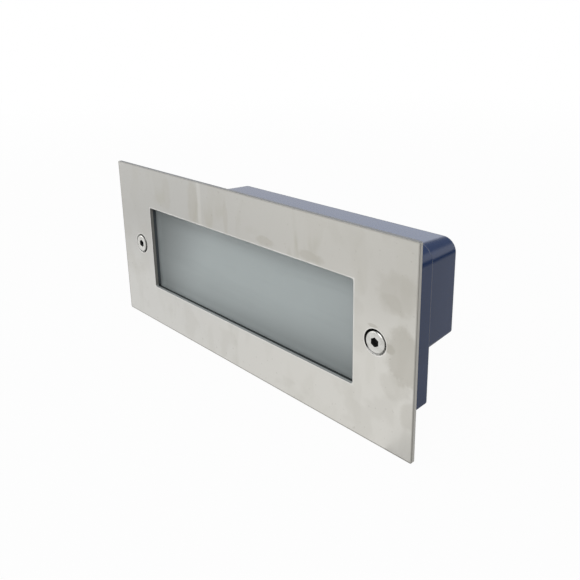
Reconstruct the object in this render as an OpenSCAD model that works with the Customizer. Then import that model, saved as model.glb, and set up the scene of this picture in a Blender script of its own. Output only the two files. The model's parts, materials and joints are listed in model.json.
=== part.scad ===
// Recessed step light: a stainless faceplate with a frosted window, the lamp tray
// and driver that hang behind it, and the moulded box that is buried in the wall.
// X runs along the plate, Y into the wall, Z up. The origin is the middle of the
// faceplate in the plane of the wall's face, where the plate's back lies.

/* [Faceplate] */
// Width of the window cut through the plate
window_w = 163; // [136:1:194]
// Height of the window cut through the plate
window_h = 51.2; // [43:0.2:61]
// How far the plate reaches past the box at each end
plate_cover_w = 11.6; // [8:0.1:20]
// How far the plate reaches past the box above and below
plate_cover_h = 10.6; // [8:0.1:20]
// Thickness of the stainless sheet
plate_t = 2; // [1.5:0.1:3]

/* [Fixing screws] */
// Diameter of the screw head
head_d = 10.4; // [9:0.1:10.8]
// Height of the screw head
head_h = 3.6; // [3:0.1:4.5]
// How far the head stands proud of the plate
head_proud = 0.4; // [0:0.1:0.8]
// Hex socket across its flats
socket_af = 4; // [3:0.5:5]
// Depth of the hex socket
socket_depth = 2.2; // [1.5:0.1:2.6]
// Diameter of the threaded shank
shank_d = 6; // [5:0.5:6]
// Length of the shank below the head
shank_len = 17; // [14:0.5:19]
// Diameter of the pressed recess round the head
recess_d = 12.2; // [11.8:0.1:12.6]

/* [Window pack] */
// Thickness of the black window gasket
window_gasket_t = 1.6; // [1:0.1:2.5]
// How far the gasket's inner edge stays behind the window's edge
gasket_setback = 0.4; // [0.2:0.1:1]
// Thickness of the frosted glass
glass_t = 3; // [2.5:0.1:4]
// How far the glass reaches past the window on every side
glass_overlap = 4; // [3:0.1:4.2]
// Thickness of the seal between the glass and the tray
tray_seal_t = 1; // [0.6:0.1:1.5]

/* [Lamp tray] */
// Sheet thickness of the tray
tray_t = 1.5; // [1:0.1:2]
// Depth of the tray from its flange's front to its floor's back
tray_depth = 17.4; // [14:0.2:18]
// How far the tray's mouth is wider than the window on every side
tray_margin = 1; // [0.5:0.1:1.5]
// Side walls of the tray lean in by this much for each unit of depth
tray_lean_share = 0.25; // [0.1:0.01:0.3]

/* [Light source] */
// How far the board stays short of the window at each end
board_inset = 17.5; // [17:0.5:26]
// Height of the board
board_h = 18; // [16:0.5:24]
// Thickness of the board
board_t = 1.6; // [1:0.1:2]
// Number of lamp chips in one row
chip_columns = 12; // [6:1:12]
// Number of rows of lamp chips
chip_rows = 2; // [1:1:2]
// Distance between the rows of chips
row_pitch = 8; // [6:0.5:10]

/* [Driver] */
// Length of the driver's case for each unit of the board's length
driver_len_share = 0.625; // [0.45:0.005:0.65]
// Height of the driver's case
driver_h = 34; // [28:1:38]
// Depth of the driver's case with its lid
driver_d = 19; // [14:0.5:22]

/* [Wall box] */
// Depth of the box from the wall's face to its back
box_depth = 73.5; // [66:0.5:90]
// Depth of the box's wide front part
front_depth = 26; // [25:0.5:30]
// Step from the wide front part to the narrow rear part at each end
side_step = 15.8; // [13:0.1:19]
// Step from the front part to the rear part above and below
top_step = 10.5; // [8:0.1:12]
// Wall thickness of the box
wall = 2; // [1.6:0.1:2.4]
// Top corner radius of the front part
front_top_r = 8.8; // [4:0.1:10]
// Top corner radius of the rear part where it leaves the front part
rear_top_r = 10.4; // [8:0.1:18]
// Bottom corner radius of the front part
front_low_r = 2; // [1.5:0.1:6]
// Bottom corner radius of the rear part where it leaves the front part
rear_low_r = 4.6; // [4:0.1:8]
// Draft of the rear part, in degrees
rear_draft = 3.5; // [2:0.1:4]
// Draft of the front part, in degrees
front_draft = 1; // [0.5:0.1:1.5]
// Gap that the foam gasket fills between the plate and the box's rim
rim_gasket_t = 1; // [0.6:0.1:2]

/* [Cable entry] */
// Diameter of the gland's thread
gland_d = 16; // [14:0.5:20]
// Bore of the rubber seal that grips the cable
cable_bore_d = 7.5; // [5:0.1:8]
// Depth of the gland's middle behind the wall's face
gland_y = 50; // [44:0.5:54]

/* [Back fixing holes] */
// Distance of each fixing hole from the end of the rear part
fix_inset = 23.6; // [19:0.1:30]
// Diameter of the fixing holes
fix_d = 4.5; // [4:0.1:6]
// Height of the fixing holes, measured from the plate's middle
fix_z = -17; // [-19:0.5:-15]

/* [Hidden] */
$fn = 48;

// One overrun for every cut
over = 0.5;
// Clearance of a piece that lies loose in its place
loose = 0.3;
// Radial clearance of a shaft that turns
running = 0.05;
// Radial clearance of a piece that is pressed or moulded in
snug = 0.02;
// Smallest corner radius that is left after a wall or a draft has taken its share
least_r = 0.6;
// Corner radius of the faceplate
plate_corner_r = 0.8;
// Corner radius of the window
window_corner_r = 1.3;

// Outlines of the window pack, from the window outwards
glass_w = window_w + 2 * glass_overlap;
glass_h = window_h + 2 * glass_overlap;
glass_r = 2;
glass_seam = 0.4;
tray_mouth_w = window_w + 2 * tray_margin;
tray_mouth_h = window_h + 2 * tray_margin;
tray_mouth_r = 8;
tray_corner_r = 3;

// Studs, washers and nuts that hold the tray to the plate
stud_d = 3;
stud_inset = 25.5;
stud_x = glass_w / 2 - stud_inset;
stud_len = 12;
stud_base_r = 2.4;
stud_base_t = 0.4;
stud_gap = 0.2;
stud_z = glass_h / 2 + stud_gap + stud_base_r;
washer_r = 3.4;
washer_t = 0.5;
nut_af = 5.5;
nut_t = 2.4;

// Flange of the tray, which holds the glass and takes the studs
flange_side = 0.5;
flange_edge = 0.4;
tray_flange_w = glass_w + 2 * flange_side;
tray_flange_h = 2 * (stud_z + washer_r + flange_edge);

// Screw places beside the flange, and the box and the plate around them
boss_r = 7.5;
boss_gap = 0.5;
dimple_side_t = 0.9;
dimple_r = recess_d / 2 + dimple_side_t;
mouth_gap = 0.4;
flange_gap = 1.4;
screw_x = tray_flange_w / 2 + boss_gap + boss_r;
front_half_w = screw_x + dimple_r + mouth_gap + wall;
front_half_h = tray_flange_h / 2 + flange_gap + wall;
rear_half_w = front_half_w - side_step;
rear_half_h = front_half_h - top_step;
plate_w = 2 * (front_half_w + plate_cover_w);
plate_h = 2 * (front_half_h + plate_cover_h);

// Planes across the depth, from the front to the back
plate_front = -plate_t;
head_front = plate_front - head_proud;
screw_seal_t = 0.5;
head_back = head_front + head_h;
recess_floor = head_back + screw_seal_t;
dimple_t = 1.2;
dimple_back = recess_floor + dimple_t;
glass_front = window_gasket_t;
glass_back = glass_front + glass_t;
flange_front = glass_back + tray_seal_t;
flange_back = flange_front + tray_t;
tray_back = flange_front + tray_depth;
tray_floor = tray_back - tray_t;
board_front = tray_floor - board_t;
driver_back = tray_back + driver_d;
box_inner_back = box_depth - wall;

// Screws, their clips and their bosses
head_edge = 0.8;
shank_end_chamfer = 0.8;
clip_t = 0.8;
clip_r = 4.8;
clip_groove_depth = 0.35;
clip_groove_r = shank_d / 2 - clip_groove_depth;
clip_front = dimple_back + loose;
boss_front = dimple_back + loose;
clip_pocket_r = clip_r + 2 * loose;
clip_pocket_back = clip_front + clip_t + loose;
insert_r = 4.3;
insert_flange_r = 5;
insert_flange_t = 0.8;
insert_len = 10;
boss_hole_end = head_back + shank_len + loose;

// Board and chips
board_w = window_w - 2 * board_inset;
board_screw_inset = 5;
board_screw_x = board_w / 2 - board_screw_inset;
chip_margin = 5;
chip_pitch = 2 * (board_screw_x - chip_margin) / chip_columns;
chip_w = 3.5;
chip_h = 2.8;
chip_t = 0.8;
board_screw_z = 5.5;
small_screw_d = 3;
small_head_d = 5.4;
small_head_t = 2;
small_slot_w = 0.8;
small_slot_depth = 0.9;

// Driver
driver_w = driver_len_share * board_w;
driver_corner_r = 2;
driver_lid_t = 2;
driver_lid_r = 0.8;
driver_lean_share = 0.02;
driver_rib_count = 9;
driver_rib_t = 1;
lug_len = 8;
lug_h = 16;
lug_t = 1.6;
lug_screw_x = driver_w / 2 + lug_len / 2;
driver_x = board_w / 2 - lug_len - driver_w / 2;
driver_end_x = driver_x - driver_w / 2;

// Tray grommet, past the board's end
grommet_r = 4.6;
grommet_gap = 0.9;
grommet_x = board_w / 2 + grommet_gap + grommet_r;
grommet_neck_r = 3.8;
grommet_bore_r = 2.8;
grommet_lip_t = 1.2;

// Terminal block on its plinth
block_inset = 35.6;
block_x = block_inset - rear_half_w;
pole_pitch = 8;
pole_count = 3;
block_side_t = 1;
block_w = pole_count * pole_pitch + 2 * block_side_t;
block_h = 16;
block_d = 16;
block_ear_w = 7;
block_ear_h = 10;
block_ear_t = 3;
plinth_t = 5;
plinth_margin = 1;
block_back = box_inner_back - plinth_t;
block_front = block_back - block_d;
port_r = 1.7;
port_depth = 9;
port_funnel = 0.7;
port_z = 4;
button_w = 3;
button_h = 1.6;
button_depth = 2;
ear_screw_x = block_w / 2 + block_ear_w / 2;
pilot_r = 1.25;
pilot_depth = 6;
block_screw_len = 7.5;

// Box details
rim_front = rim_gasket_t + loose;
box_edge_r = 0.9;
round_steps = 3;
knockout_r = 10;
knockout_x = 30;
knockout_spacing = 34;
knockout_groove_w = 1.2;
knockout_groove_depth = 1.1;
rear_slope = tan(rear_draft);
front_slope = tan(front_draft);
rib_half_len = rear_half_h - rear_slope * (box_inner_back - front_depth) - wall / 2;
gland_pad_r = 13;
gland_pad_t = 1;
gusset_t = 2;
gusset_front = 12;
gusset_reach = 14;
rib_t = 1.6;
rib_h = 3;
rib_spacing = 28;
fix_x = rear_half_w - fix_inset;
fix_pad_r = 5;
fix_pad_t = 1.4;
fix_sink = 1.6;

// Gland
gland_hex_af = 19;
gland_hex_t = 4;
gland_washer_t = 1;
gland_cap_af = 18;
gland_cap_len = 9;
gland_cap_hole_r = 4.4;
gland_neck_r = 6.8;
gland_neck_len = 6;
gland_bore_r = 5.4;
locknut_af = 20;
locknut_t = 4;
gland_tail = 1;
seal_len = 8;

// Earth tag under one nut of the tray
tag_t = 0.8;
tag_r = 3.4;
tag_tail_w = 3.6;
tag_tail_len = 9;
tag_barrel_r = 1.8;
tag_barrel_len = 6;

// Leads
lead_r = 1.1;
thin_lead_r = 0.8;
lead_sides = 8;
bend_steps = 4;
bend_share = 0.45;
output_bend = 3;
input_bend = 6;
lead_hole_depth = 3;
output_z = 1.4;
output_rise = 9;
output_y = tray_back + output_rise;
input_z = 5;
input_rise = 11;
input_y = tray_back + input_rise;
lead_bite = 7;
lead_end_y = block_front + lead_bite;
lead_turn_gap = 9.5;
lead_turn_y = block_front - lead_turn_gap;
driver_right = driver_x + driver_w / 2 - lead_hole_depth / 2;
driver_left = driver_end_x + lead_hole_depth / 2;
tag_axis_y = flange_back + washer_t + tag_barrel_r;
tag_barrel_x = tag_tail_len - stud_x;

// Routes of the leads to the board, corner by corner
solder_inset = 3;
board_end_x = board_w / 2 - solder_inset;
board_bow = 5.4;
board_bow_y = board_front - board_bow;
red_route = [[driver_right, output_y, output_z], [grommet_x, output_y, output_z],
    [grommet_x, board_bow_y, output_z], [board_end_x, board_bow_y, output_z],
    [board_end_x, board_front, output_z]];

// Routes of the leads to the terminal block
live_reach = 16;
live_turn_x = driver_end_x - live_reach;
neutral_reach = 12;
neutral_turn_x = driver_end_x - neutral_reach;
live_route = [[driver_left, input_y, input_z], [live_turn_x, input_y, input_z],
    [block_x - pole_pitch, lead_turn_y, -port_z], [block_x - pole_pitch, lead_end_y, -port_z]];
neutral_route = [[driver_left, input_y, -input_z], [neutral_turn_x, input_y, -input_z],
    [block_x, lead_turn_y, -port_z], [block_x, lead_end_y, -port_z]];

// Route of the earth lead: from its tag past the tray's edge, over the box's step
earth_tag_run = 11;
earth_near_x = tag_barrel_x + tag_barrel_len + earth_tag_run;
earth_side_gap = 2;
earth_far_x = driver_end_x - lug_len - earth_side_gap;
earth_bow = 2.2;
earth_start_run = 9;
earth_start_y = front_depth - earth_start_run;
earth_start_lift = 1.2;
earth_step_gap = 1;
earth_tray_gap = 4;
earth_step_y = max(front_depth + earth_step_gap, tray_back + earth_tray_gap);
earth_wall_gap = 3.9;
earth_end_run = 9;
earth_end_drop = 8;
earth_rise = [[earth_near_x - earth_bow, tag_axis_y, -stud_z],
    [earth_near_x, earth_start_y, earth_start_lift - stud_z],
    [earth_far_x, earth_step_y, earth_wall_gap + wall - rear_half_h],
    [earth_far_x - earth_bow, earth_step_y + earth_end_run, -port_z - earth_end_drop]];
earth_route = concat([[tag_barrel_x + tag_barrel_len / 2, tag_axis_y, -stud_z]], earth_rise,
    [[block_x + pole_pitch, lead_turn_y + earth_bow, -port_z],
    [block_x + pole_pitch, lead_end_y, -port_z]]);

// A flat shape drawn in X and Z, given a thickness from one plane to another
module slab(from_y, to_y)
    translate([0, to_y, 0])
        rotate([90, 0, 0])
            linear_extrude(to_y - from_y)
                children();

// A rounded rectangle about the middle
module rounded(w, h, r) {
    square([w - 2 * r, h], center = true);
    square([w, h - 2 * r], center = true);
    for (x = [-1, 1], y = [-1, 1])
        translate([x * (w / 2 - r), y * (h / 2 - r)])
            circle(r);
}

// A round bar along Y, or a cone when its two radii differ
module bar_y(from_y, to_y, r, end_r = -1)
    translate([0, from_y, 0])
        rotate([-90, 0, 0])
            cylinder(h = to_y - from_y, r1 = r, r2 = end_r < 0 ? r : end_r);

// A hexagonal bar along Y, with corners above and below
module hex_y(from_y, to_y, af)
    translate([0, from_y, 0])
        rotate([-90, 30, 0])
            cylinder(h = to_y - from_y, r = af / 2 / cos(30), $fn = 6);

// A round bar along X, or a cone when its two radii differ
module bar_x(from_x, to_x, r, end_r = -1)
    translate([from_x, 0, 0])
        rotate([0, 90, 0])
            cylinder(h = to_x - from_x, r1 = r, r2 = end_r < 0 ? r : end_r);

// A hexagonal bar along X
module hex_x(from_x, to_x, af)
    translate([from_x, 0, 0])
        rotate([0, 90, 0])
            cylinder(h = to_x - from_x, r = af / 2 / cos(30), $fn = 6);

// A size rounded to a thousandth, so that faces that are meant to meet do meet
function tidy(v) = round(v * 1000) / 1000;

// A block with a rounded outline whose four sides lean in together by the inset.
// The corners are quarter cones about straight axes, so each stays tangent to its sides.
module drafted(half_w, half_h, top_r, low_r, from_y, to_y, inset) {
    r_top = max(top_r, inset + least_r);
    r_low = max(low_r, inset + least_r);
    drafted_half(half_w, half_h, r_low, from_y, to_y, inset);
    mirror([0, 0, 1])
        drafted_half(half_w, half_h, r_top, from_y, to_y, inset);
}

// The lower half of a drafted block, with its two corners
module drafted_half(half_w, half_h, corner_r, from_y, to_y, inset) {
    r = tidy(corner_r);
    middle_w = tidy(half_w) - r;
    middle_h = tidy(half_h) - r;
    w = middle_w + r;
    h = middle_h + r;
    lean = tidy(inset);
    near = tidy(from_y);
    far = tidy(to_y);
    translate([0, 0, -middle_h])
        linear_extrude(middle_h)
            polygon([[-w, near], [w, near], [w - lean, far], [lean - w, far]]);
    translate([-middle_w, 0, 0])
        rotate([90, 0, 90])
            linear_extrude(2 * middle_w)
                polygon([[near, 0], [near, -h], [far, lean - h], [far, 0]]);
    for (side = [0, 1])
        mirror([side, 0, 0])
            translate([middle_w, 0, -middle_h])
                rotate([-90, 0, 0])
                    rotate_extrude(angle = 90)
                        polygon([[0, near], [r, near], [r - lean, far], [0, far]]);
}

// A drafted block whose back edges are rounded over in short steps
module moulded(half_w, half_h, top_r, low_r, from_y, to_y, slope, edge_r) {
    start = to_y - edge_r;
    lean = slope * (start - from_y);
    drafted(half_w, half_h, top_r, low_r, from_y, start, lean);
    for (i = [0 : round_steps - 1]) {
        a = 90 * i / round_steps;
        b = 90 * (i + 1) / round_steps;
        gone = lean + edge_r * (1 - cos(a));
        drafted(half_w - gone, half_h - gone, top_r - gone, low_r - gone,
            start + edge_r * sin(a), start + edge_r * sin(b), edge_r * (cos(a) - cos(b)));
    }
}

// A pan-head screw along Y: its head lies in front of from_y, its shank runs to to_y
module pan_screw(from_y, to_y) {
    difference() {
        bar_y(from_y - small_head_t, from_y, small_head_d / 2 - small_slot_w / 2, small_head_d / 2);
        for (a = [0, 90])
            rotate([0, a, 0])
                translate([-small_head_d, from_y - small_head_t - over, -small_slot_w / 2])
                    cube([2 * small_head_d, small_slot_depth + over, small_slot_w]);
    }
    bar_y(from_y - small_slot_depth, to_y, small_screw_d / 2);
}

// Both fixing screws' places
module at_screws()
    for (x = [-screw_x, screw_x])
        translate([x, 0, 0])
            children();

// The four studs' places
module at_studs()
    for (x = [-stud_x, stud_x], z = [-stud_z, stud_z])
        translate([x, 0, z])
            children();

function unit(v) = v / norm(v);

// The corners of a route, each replaced by a short arc
function bent(route, r) = concat([route[0]],
    [for (i = [1 : len(route) - 2])
        let (before = unit(route[i - 1] - route[i]),
            after = unit(route[i + 1] - route[i]),
            half_turn = acos(max(-1, min(1, before * after))) / 2,
            reach = min(r / tan(half_turn), bend_share * norm(route[i - 1] - route[i]),
                bend_share * norm(route[i + 1] - route[i])))
        for (k = [0 : bend_steps])
            let (t = k / bend_steps)
            route[i] + (1 - t) * (1 - t) * reach * before + t * t * reach * after],
    [route[len(route) - 1]]);

function heading(path, i) = i == 0 ? unit(path[1] - path[0])
    : i == len(path) - 1 ? unit(path[i] - path[i - 1])
    : unit(unit(path[i + 1] - path[i]) + unit(path[i] - path[i - 1]));

// A direction square to the path, carried along it without twist
function side_of(path, i) = let (t = heading(path, i),
        last = i > 0 ? side_of(path, i - 1) : abs(t.z) < cos(30) ? [0, 0, 1] : [1, 0, 0])
    unit(last - (last * t) * t);

// A round lead along a route
module lead(route, r, bend) {
    path = bent(route, r = bend);
    n = lead_sides;
    rings = [for (i = [0 : len(path) - 1])
        let (t = heading(path, i), s = side_of(path, i), c = cross(t, s))
        for (k = [0 : n - 1])
            path[i] + r * (cos(360 * k / n) * s + sin(360 * k / n) * c)];
    last = (len(path) - 1) * n;
    polyhedron(points = rings, faces = concat(
        [for (k = [1 : n - 2]) [0, k, k + 1]],
        [for (i = [0 : len(path) - 2], k = [0 : n - 1])
            [i * n + k, (i + 1) * n + k, i * n + (k + 1) % n]],
        [for (i = [0 : len(path) - 2], k = [0 : n - 1])
            [i * n + (k + 1) % n, (i + 1) * n + k, (i + 1) * n + (k + 1) % n]],
        [for (k = [1 : n - 2]) [last, last + k + 1, last + k]]));
}

// Stainless plate: sheet with its window, and a pressed recess for each screw
module faceplate() color("silver") {
    difference() {
        union() {
            slab(plate_front, 0)
                difference() {
                    rounded(plate_w, plate_h, plate_corner_r);
                    rounded(window_w, window_h, window_corner_r);
                }
            at_screws()
                bar_y(plate_front / 2, dimple_back, dimple_r);
        }
        at_screws() {
            bar_y(plate_front - over, recess_floor, recess_d / 2);
            bar_y(recess_floor - over, dimple_back + over, shank_d / 2 + loose);
        }
    }
}

// Weld studs on the plate's back
module plate_studs() color("lightgray")
    at_studs() {
        bar_y(0, stud_len, stud_d / 2);
        bar_y(0, stud_base_t, stud_base_r);
    }

// Foam ring on the plate's back, squeezed against the box's rim
module rim_gasket() color("dimgray") {
    inner_w = 2 * (screw_x + dimple_r + snug);
    inner_h = 2 * (front_half_h - wall);
    slab(0, rim_gasket_t)
        difference() {
            rounded(2 * front_half_w, 2 * front_half_h, front_top_r);
            rounded(inner_w, inner_h, front_top_r - wall);
        }
}

// Black gasket between the plate and the glass
module window_gasket() color("black")
    slab(0, glass_front)
        difference() {
            rounded(glass_w, glass_h, glass_r);
            rounded(window_w + 2 * gasket_setback, window_h + 2 * gasket_setback, window_corner_r);
        }

// Frosted glass, its edges ground off at the front and the back
module window_glass() color("lightslategray") {
    middle = glass_front + glass_t / 2;
    translate([0, middle, 0])
        for (side = [0, 1])
            mirror([0, side, 0]) {
                drafted(glass_w / 2, glass_h / 2, glass_r, glass_r, 0, glass_t / 2 - glass_seam, 0);
                drafted(glass_w / 2, glass_h / 2, glass_r, glass_r,
                    glass_t / 2 - glass_seam, glass_t / 2, glass_seam);
            }
}

// Seal between the glass and the tray's flange
module tray_seal() color("whitesmoke")
    slab(glass_back, flange_front)
        difference() {
            rounded(glass_w, glass_h, glass_r);
            rounded(tray_mouth_w, tray_mouth_h, tray_mouth_r - tray_t);
        }

// White lamp tray: a flange on the studs and a basin with leaning walls
module lamp_tray() color("white")
    difference() {
        union() {
            slab(flange_front, flange_back)
                rounded(tray_flange_w, tray_flange_h, tray_corner_r);
            drafted(tray_mouth_w / 2 + tray_t, tray_mouth_h / 2 + tray_t, tray_mouth_r + tray_t,
                tray_mouth_r + tray_t, flange_front, tray_back, tray_lean_share * tray_depth);
        }
        drafted(tray_mouth_w / 2, tray_mouth_h / 2, tray_mouth_r, tray_mouth_r,
            flange_front - over, tray_floor, tray_lean_share * (tray_depth - tray_t + over));
        at_studs()
            bar_y(flange_front - over, flange_back + over, stud_d / 2 + loose);
        for (x = [-board_screw_x, board_screw_x], z = [-board_screw_z, board_screw_z])
            translate([x, 0, z])
                bar_y(tray_floor - over, tray_back + over, small_screw_d / 2 + snug);
        for (x = [driver_x - lug_screw_x, driver_x + lug_screw_x])
            translate([x, 0, 0])
                bar_y(tray_floor - over, tray_back + over, small_screw_d / 2 + snug);
        translate([grommet_x, 0, 0])
            bar_y(tray_floor - over, tray_back + over, grommet_neck_r + snug);
    }

// Plain washers under the nuts
module tray_washers() color("gainsboro")
    at_studs()
        difference() {
            bar_y(flange_back, flange_back + washer_t, washer_r);
            bar_y(flange_back - over, flange_back + washer_t + over, stud_d / 2 + loose);
        }

// The height of a nut's face: the earth tag lifts the nut on its own stud
function nut_front(x, z) = flange_back + washer_t + (x < 0 && z < 0 ? tag_t : 0);

// Hexagon nuts on the studs
module tray_nuts() color("gainsboro")
    for (x = [-stud_x, stud_x], z = [-stud_z, stud_z])
        translate([x, nut_front(x, z), z])
            difference() {
                hex_y(0, nut_t, nut_af);
                bar_y(-over, nut_t + over, stud_d / 2 + snug);
            }

// Board with its screw holes
module led_board() color("ivory")
    slab(board_front, tray_floor)
        difference() {
            square([board_w, board_h], center = true);
            for (x = [-board_screw_x, board_screw_x], z = [-board_screw_z, board_screw_z])
                translate([x, z])
                    circle(small_screw_d / 2 + loose / 2);
        }

// Lamp chips in rows
module led_chips() color("khaki")
    for (i = [0 : chip_columns - 1], j = [0 : chip_rows - 1])
        translate([(i - (chip_columns - 1) / 2) * chip_pitch - chip_w / 2,
            board_front - chip_t, (j - (chip_rows - 1) / 2) * row_pitch - chip_h / 2])
            cube([chip_w, chip_t, chip_h]);

// Screws that hold the board to the tray's floor
module board_screws() color("gainsboro")
    for (x = [-board_screw_x, board_screw_x], z = [-board_screw_z, board_screw_z])
        translate([x, 0, z])
            pan_screw(board_front, tray_back - snug);

// Driver's case: a potted tub with a lug at each end
module driver_case() color("darkslategray")
    translate([driver_x, 0, 0]) {
        difference() {
            union() {
                drafted(driver_w / 2, driver_h / 2, driver_corner_r, driver_corner_r,
                    tray_back, driver_back - driver_lid_t,
                    driver_lean_share * (driver_d - driver_lid_t));
                slab(tray_back, tray_back + lug_t)
                    rounded(driver_w + 2 * lug_len, lug_h, driver_corner_r);
            }
            for (x = [-lug_screw_x, lug_screw_x])
                translate([x, 0, 0])
                    bar_y(tray_back - over, tray_back + lug_t + over, small_screw_d / 2 + loose / 2);
            for (z = [-output_z, output_z])
                translate([0, output_y, z])
                    bar_x(driver_w / 2 - lead_hole_depth, driver_w / 2 + over, thin_lead_r + snug);
            for (z = [-input_z, input_z])
                translate([0, input_y, z])
                    bar_x(-driver_w / 2 - over, lead_hole_depth - driver_w / 2, lead_r + snug);
        }
    }

// Driver's lid, with cooling ribs across it
module driver_lid() color("slategray")
    translate([driver_x, 0, 0])
        difference() {
            moulded(driver_w / 2 - driver_lid_t / 2, driver_h / 2 - driver_lid_t / 2,
                driver_corner_r, driver_corner_r, driver_back - driver_lid_t, driver_back,
                driver_lean_share, driver_lid_r);
            for (i = [0 : driver_rib_count - 1])
                translate([(i - (driver_rib_count - 1) / 2) * driver_w / (driver_rib_count + 1)
                    - driver_rib_t / 2, driver_back - driver_lid_t / 2, -driver_h / 4])
                    cube([driver_rib_t, driver_lid_t, driver_h / 2]);
        }

// Screws through the driver's lugs
module driver_screws() color("gainsboro")
    for (x = [driver_x - lug_screw_x, driver_x + lug_screw_x])
        translate([x, tray_back + lug_t, 0])
            mirror([0, 1, 0])
                pan_screw(0, lug_t + tray_t - snug);

// Rubber grommet in the tray's floor
module tray_grommet() color("black")
    translate([grommet_x, 0, 0])
        difference() {
            union() {
                bar_y(tray_floor - grommet_lip_t, tray_floor, grommet_r);
                bar_y(tray_floor - grommet_lip_t, tray_back + grommet_lip_t, grommet_neck_r);
                bar_y(tray_back, tray_back + grommet_lip_t, grommet_r);
            }
            bar_y(tray_floor - grommet_lip_t - over, tray_back + grommet_lip_t + over,
                grommet_bore_r);
        }

// Leads from the driver to the board
module lead_red() color("firebrick")
    lead(red_route, thin_lead_r, output_bend);

module lead_black() color("black")
    mirror([0, 0, 1])
        lead(red_route, thin_lead_r, output_bend);

// Leads from the driver and the plate to the terminal block
module lead_live() color("sienna")
    lead(live_route, lead_r, input_bend);

module lead_neutral() color("royalblue")
    lead(neutral_route, lead_r, input_bend);

module lead_earth() color("yellowgreen")
    lead(earth_route, lead_r, input_bend);

// Ring tag on the lower left stud, crimped to the earth lead
module earth_tag() color("goldenrod") {
    tag_front = flange_back + washer_t;
    difference() {
        union() {
            translate([-stud_x, 0, -stud_z])
                slab(tag_front, tag_front + tag_t) {
                    circle(tag_r);
                    translate([0, -tag_tail_w / 2])
                        square([tag_tail_len + tag_barrel_len / 2, tag_tail_w]);
                }
            translate([0, tag_axis_y, -stud_z])
                bar_x(tag_barrel_x, tag_barrel_x + tag_barrel_len, tag_barrel_r);
        }
        translate([-stud_x, 0, -stud_z])
            bar_y(tag_front - over, tag_front + tag_t + over, stud_d / 2 + loose / 2);
        translate([0, tag_axis_y, -stud_z])
            bar_x(tag_barrel_x - over, tag_barrel_x + tag_barrel_len + over, lead_r + snug);
    }
}

// Rubber rings under the screw heads
module screw_seals() color("black")
    at_screws()
        difference() {
            bar_y(head_back, recess_floor, head_d / 2 - head_edge);
            bar_y(head_back - over, recess_floor + over, shank_d / 2 + running);
        }

// Stainless screw: low head with a hex socket, and a groove for its clip
module fixing_screw() color("gainsboro")
    difference() {
        union() {
            bar_y(head_front, head_front + head_edge, head_d / 2 - head_edge, head_d / 2);
            bar_y(head_front + head_edge, head_back, head_d / 2);
            bar_y(head_back - over, clip_front, shank_d / 2);
            bar_y(clip_front - over, clip_front + clip_t + over, clip_groove_r);
            bar_y(clip_front + clip_t, head_back + shank_len - shank_end_chamfer, shank_d / 2);
            bar_y(head_back + shank_len - shank_end_chamfer, head_back + shank_len,
                shank_d / 2, shank_d / 2 - shank_end_chamfer);
        }
        hex_y(head_front - over, head_front + socket_depth, socket_af);
        bar_y(head_front - over, head_front + head_edge / 2, socket_af / 2 + 2 * over,
            socket_af / 2 + head_edge / 4);
    }

module screw_left()
    translate([-screw_x, 0, 0])
        fixing_screw();

module screw_right()
    translate([screw_x, 0, 0])
        fixing_screw();

// Clip that keeps a screw captive behind the plate
module retaining_clip() color("dimgray")
    difference() {
        bar_y(clip_front, clip_front + clip_t, clip_r);
        bar_y(clip_front - over, clip_front + clip_t + over, clip_groove_r + snug);
        translate([-clip_groove_r, clip_front - over, 0])
            cube([2 * clip_groove_r, clip_t + 2 * over, clip_r + over]);
    }

module clip_left()
    translate([-screw_x, 0, 0])
        retaining_clip();

module clip_right()
    translate([screw_x, 0, 0])
        retaining_clip();

// Outer form of the box: wide front part, narrow rear part, rounded back edges
module box_outside() {
    moulded(front_half_w, front_half_h, front_top_r, front_low_r,
        rim_front, front_depth, front_slope, box_edge_r);
    moulded(rear_half_w + rear_slope * wall, rear_half_h + rear_slope * wall,
        rear_top_r + rear_slope * wall, rear_low_r + rear_slope * wall,
        front_depth - wall, box_depth, rear_slope, box_edge_r);
}

// Hollow of the box
module box_inside() {
    drafted(front_half_w - wall, front_half_h - wall, front_top_r - wall, front_low_r - wall,
        rim_front - over, front_depth - wall, front_slope * (front_depth - wall - rim_front + over));
    rear_gain = rear_slope * 2 * wall;
    drafted(rear_half_w - wall + rear_gain, rear_half_h - wall + rear_gain, rear_top_r - wall,
        rear_low_r - wall, front_depth - 2 * wall, box_inner_back,
        rear_slope * (box_inner_back - front_depth + 2 * wall));
}

// Where the box's left side stands at the gland's depth
gland_side_x = rear_half_w - rear_slope * (gland_y - front_depth);
gland_seat_x = -(gland_side_x + gland_pad_t + rear_slope * gland_pad_r);
gland_inner_x = -(gland_side_x - wall - gland_pad_t - rear_slope * gland_pad_r);

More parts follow.
